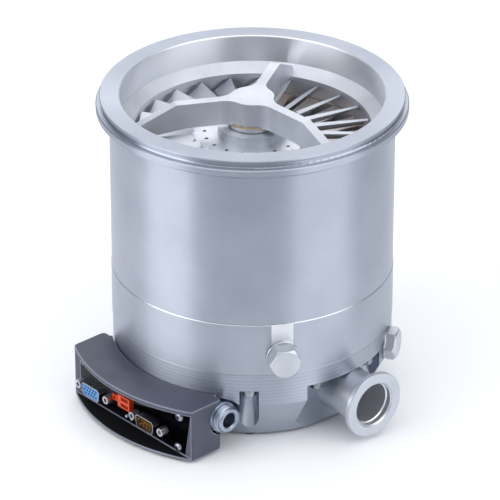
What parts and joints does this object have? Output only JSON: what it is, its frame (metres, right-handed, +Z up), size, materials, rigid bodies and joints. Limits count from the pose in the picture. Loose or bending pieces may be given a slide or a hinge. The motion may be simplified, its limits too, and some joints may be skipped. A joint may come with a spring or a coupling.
{
  "type": "turbomolecular pump",
  "caption": "Turbomolecular vacuum pump with an ISO-K inlet, bladed rotor under a three-arm bearing star, KF backing port and arc-shaped electronics box.",
  "frame": {"origin": "on the rotor axis, at the level that the pump's feet stand on", "axes": "+Z up along the rotor axis towards the inlet; -Y towards the side with the electronics box and the backing port"},
  "size_m": [0.1943, 0.1912, 0.188],
  "materials": {
    "turned_aluminium": "brushed",
    "grooved_aluminium": "fine turned",
    "milled_aluminium": "milled",
    "rotor_aluminium": "machined",
    "port_steel": "turned",
    "plug_steel": "nickel plated",
    "washer_steel": "zinc plated",
    "screw_steel": "bright",
    "seal_rubber": "matte",
    "anthracite_coat": "satin powder coat",
    "black_panel": "satin",
    "shell_steel": "tin plated",
    "blue_plastic": "moulded",
    "brown_plastic": "moulded",
    "orange_plastic": "moulded",
    "board_green": "solder mask",
    "nickel_fitting": "nickel plated",
    "magnet_nickel": "nickel plated",
    "winding_pack": "potted",
    "carbon_fibre": "satin",
    "bearing_steel": "polished",
    "bearing_ceramic": "polished",
    "cage_resin": "machined",
    "felt": "felt"
  },
  "bodies": {
    "housing": {"inlet_housing": "turned_aluminium", "middle_ring": "turned_aluminium", "housing_seal": "seal_rubber", "vent_plug": "plug_steel", "vent_plug_washer": "washer_steel", "purge_plug": "plug_steel", "purge_plug_washer": "washer_steel", "base_housing": "grooved_aluminium", "base_screws": "screw_steel", "feet": "seal_rubber", "bottom_cover": "milled_aluminium", "cover_screws": "screw_steel", "lubricant_wick": "felt", "backing_port": "port_steel", "bearing_star": "milled_aluminium", "star_magnets": "magnet_nickel", "safety_bearing": "bearing_steel", "stator_disc_1": "rotor_aluminium", "stator_disc_2": "rotor_aluminium", "stator_disc_3": "rotor_aluminium", "stator_disc_4": "rotor_aluminium", "spacer_ring_1": "rotor_aluminium", "spacer_ring_2": "rotor_aluminium", "spacer_ring_3": "rotor_aluminium", "spacer_ring_4": "rotor_aluminium", "outer_drag_sleeve": "rotor_aluminium", "inner_drag_sleeve": "rotor_aluminium", "motor_stator": "winding_pack", "bearing_outer_ring": "bearing_steel", "bearing_carrier": "milled_aluminium", "electronics_housing": "anthracite_coat", "connector_panel": "black_panel", "de15_shell": "shell_steel", "de15_insert": "blue_plastic", "de9_shell": "shell_steel", "de9_insert": "brown_plastic", "bus_connector": "orange_plastic", "connector_standoffs": "screw_steel", "panel_screws": "screw_steel", "circuit_board": "board_green", "side_fitting": "nickel_fitting"},
    "rotor": {"turbine_rotor": "rotor_aluminium", "rotor_magnets": "magnet_nickel", "rotor_shaft": "screw_steel", "motor_magnet": "magnet_nickel", "drag_drum": "carbon_fibre", "bearing_inner_ring": "bearing_steel"},
    "ball_cage": {"bearing_balls": "bearing_ceramic", "bearing_cage": "cage_resin"}
  },
  "joints": [
    {"name": "rotor_spin", "type": "hinge", "parent": "housing", "child": "rotor", "pos_m": [0, 0, 0.1], "axis": [0, 0, 1], "continuous": true},
    {"name": "cage_spin", "type": "hinge", "parent": "housing", "child": "ball_cage", "pos_m": [0, 0, 0.024], "axis": [0, 0, 1], "continuous": true}
  ],
  "couplings": [
    {"joint": "cage_spin", "follows": "rotor_spin", "ratio": 0.4056}
  ]
}
